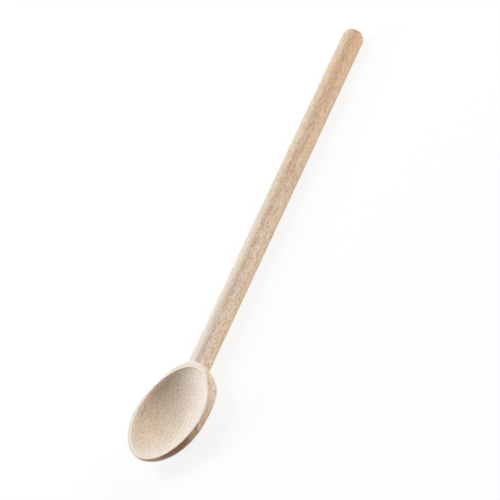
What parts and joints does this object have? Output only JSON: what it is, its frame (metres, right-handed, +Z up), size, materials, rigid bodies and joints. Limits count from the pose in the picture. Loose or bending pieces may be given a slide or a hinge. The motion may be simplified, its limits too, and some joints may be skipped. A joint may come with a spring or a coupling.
{
  "type": "wooden cooking spoon",
  "caption": "Plain one-piece wooden cooking spoon with a shallow oval bowl, a level rim and a straight round handle, for stirring and serving.",
  "frame": {"origin": "middle of the spoon's length and width, on the table that it lies on", "axes": "+X along the handle from the bowl to the handle's end, +Z up out of the hollow of the bowl, +Y to the left"},
  "size_m": [0.3, 0.0466, 0.0148],
  "materials": {
    "beech": "sanded, unvarnished"
  },
  "bodies": {
    "root": {"spoon": "beech"}
  },
  "joints": []
}
